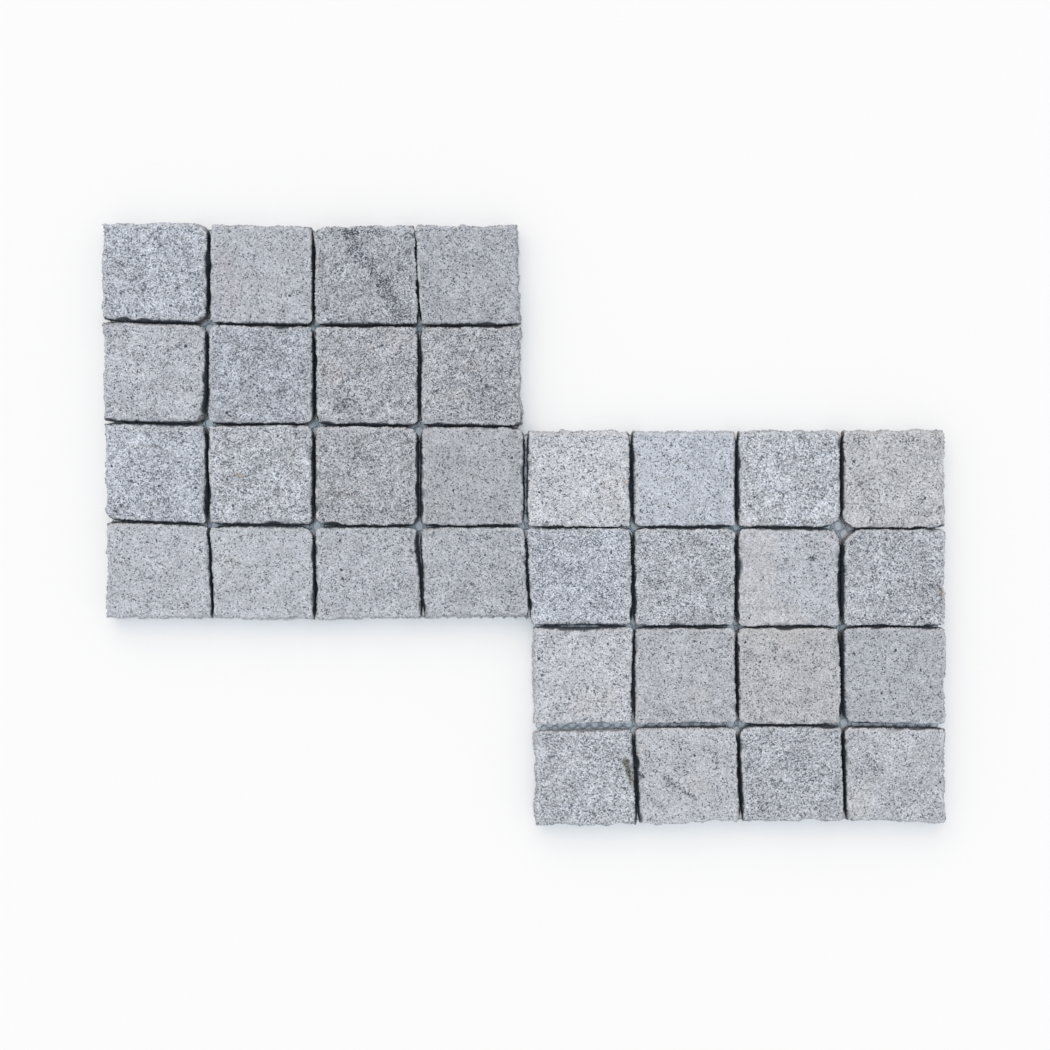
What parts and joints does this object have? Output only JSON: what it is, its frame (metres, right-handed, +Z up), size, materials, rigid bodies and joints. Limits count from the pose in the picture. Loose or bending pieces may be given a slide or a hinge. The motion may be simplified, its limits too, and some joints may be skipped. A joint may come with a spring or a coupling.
{
  "type": "granite sett sheet on backing net",
  "caption": "Flat paving sheet of split granite setts in two stepped square fields, held at their joints by a plastic net underneath, so that sheets interlock when laid.",
  "frame": {"origin": "under the middle of the sheet, on the surface that it lies on", "axes": "+X along the sheet from the left field to the right field, +Y across it towards the left field's first row, +Z up out of the paved face"},
  "size_m": [0.852, 0.6104, 0.026],
  "materials": {
    "granite": "split sides and a flamed, speckled light grey top",
    "net_plastic": "satin grey extruded net"
  },
  "bodies": {
    "root": {"sett_left_row1_col1": "granite", "sett_left_row1_col2": "granite", "sett_left_row1_col3": "granite", "sett_left_row1_col4": "granite", "sett_left_row2_col1": "granite", "sett_left_row2_col2": "granite", "sett_left_row2_col3": "granite", "sett_left_row2_col4": "granite", "sett_left_row3_col1": "granite", "sett_left_row3_col2": "granite", "sett_left_row3_col3": "granite", "sett_left_row3_col4": "granite", "sett_left_row4_col1": "granite", "sett_left_row4_col2": "granite", "sett_left_row4_col3": "granite", "sett_left_row4_col4": "granite", "sett_right_row1_col1": "granite", "sett_right_row1_col2": "granite", "sett_right_row1_col3": "granite", "sett_right_row1_col4": "granite", "sett_right_row2_col1": "granite", "sett_right_row2_col2": "granite", "sett_right_row2_col3": "granite", "sett_right_row2_col4": "granite", "sett_right_row3_col1": "granite", "sett_right_row3_col2": "granite", "sett_right_row3_col3": "granite", "sett_right_row3_col4": "granite", "sett_right_row4_col1": "granite", "sett_right_row4_col2": "granite", "sett_right_row4_col3": "granite", "sett_right_row4_col4": "granite", "backing_net": "net_plastic"}
  },
  "joints": []
}
